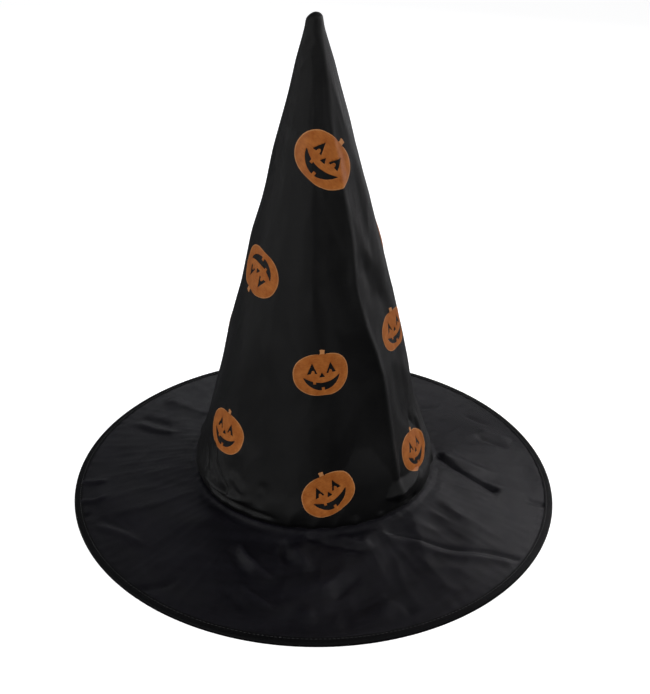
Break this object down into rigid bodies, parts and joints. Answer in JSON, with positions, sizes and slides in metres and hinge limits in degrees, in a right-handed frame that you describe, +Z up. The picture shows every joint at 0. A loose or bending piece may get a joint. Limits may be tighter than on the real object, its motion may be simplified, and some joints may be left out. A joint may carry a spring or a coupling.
{
  "type": "witch hat",
  "caption": "Pointed black satin witch hat: stiffened cone with pumpkin prints, wide flat wired brim with a bound edge, ribbon headband inside.",
  "frame": {"origin": "hat axis at the plane that the brim edge rests on", "axes": "+Z up along the crown to the tip, front of the hat faces -Y, +X to the right seen from the front, head opening faces -Z"},
  "size_m": [0.38, 0.38, 0.36],
  "materials": {
    "crown_satin": "black polyester satin, soft sheen",
    "brim_satin": "black polyester satin, soft sheen",
    "brim_lining": "black matt lining cloth",
    "binding_tape": "black satin bias tape",
    "headband_ribbon": "black ribbed ribbon",
    "stiffener": "dark non-woven felt",
    "thread": "black sewing thread",
    "label_tape": "white woven tape",
    "printed_orange": "orange printed film, satin",
    "hoop_wire": "drawn steel wire",
    "ferrule": "crimped aluminium"
  },
  "bodies": {
    "hat": {"crown_fabric": "crown_satin", "crown_stiffener": "stiffener", "back_seam_thread": "thread", "brim_top_fabric": "brim_satin", "brim_stiffener": "stiffener", "brim_underside_fabric": "brim_lining", "brim_edge_wire": "hoop_wire", "wire_ferrule": "ferrule", "brim_binding": "binding_tape", "binding_thread_top": "thread", "binding_thread_under": "thread", "crown_seam_thread": "thread", "headband": "headband_ribbon", "headband_thread": "thread", "pumpkin_print_front_top": "printed_orange", "pumpkin_print_left_upper": "printed_orange", "pumpkin_print_right_middle": "printed_orange", "pumpkin_print_front_middle": "printed_orange", "pumpkin_print_left_low": "printed_orange", "pumpkin_print_right_low": "printed_orange", "pumpkin_print_front_low": "printed_orange", "pumpkin_print_back_top": "printed_orange", "pumpkin_print_right_upper": "printed_orange", "pumpkin_print_back_upper": "printed_orange", "pumpkin_print_left_middle": "printed_orange", "pumpkin_print_back_left_middle": "printed_orange", "pumpkin_print_back_right_middle": "printed_orange", "pumpkin_print_back_right_low": "printed_orange", "pumpkin_print_back_low": "printed_orange", "pumpkin_print_back_left_low": "printed_orange"},
    "care_label": {"care_label": "label_tape", "care_label_thread": "thread"}
  },
  "joints": [
    {"name": "care_label_turn", "type": "hinge", "parent": "hat", "child": "care_label", "pos_m": [0, 0.07896, 0.05214], "axis": [0, 0.2527, -0.9676], "range_deg": [0, 170]}
  ]
}
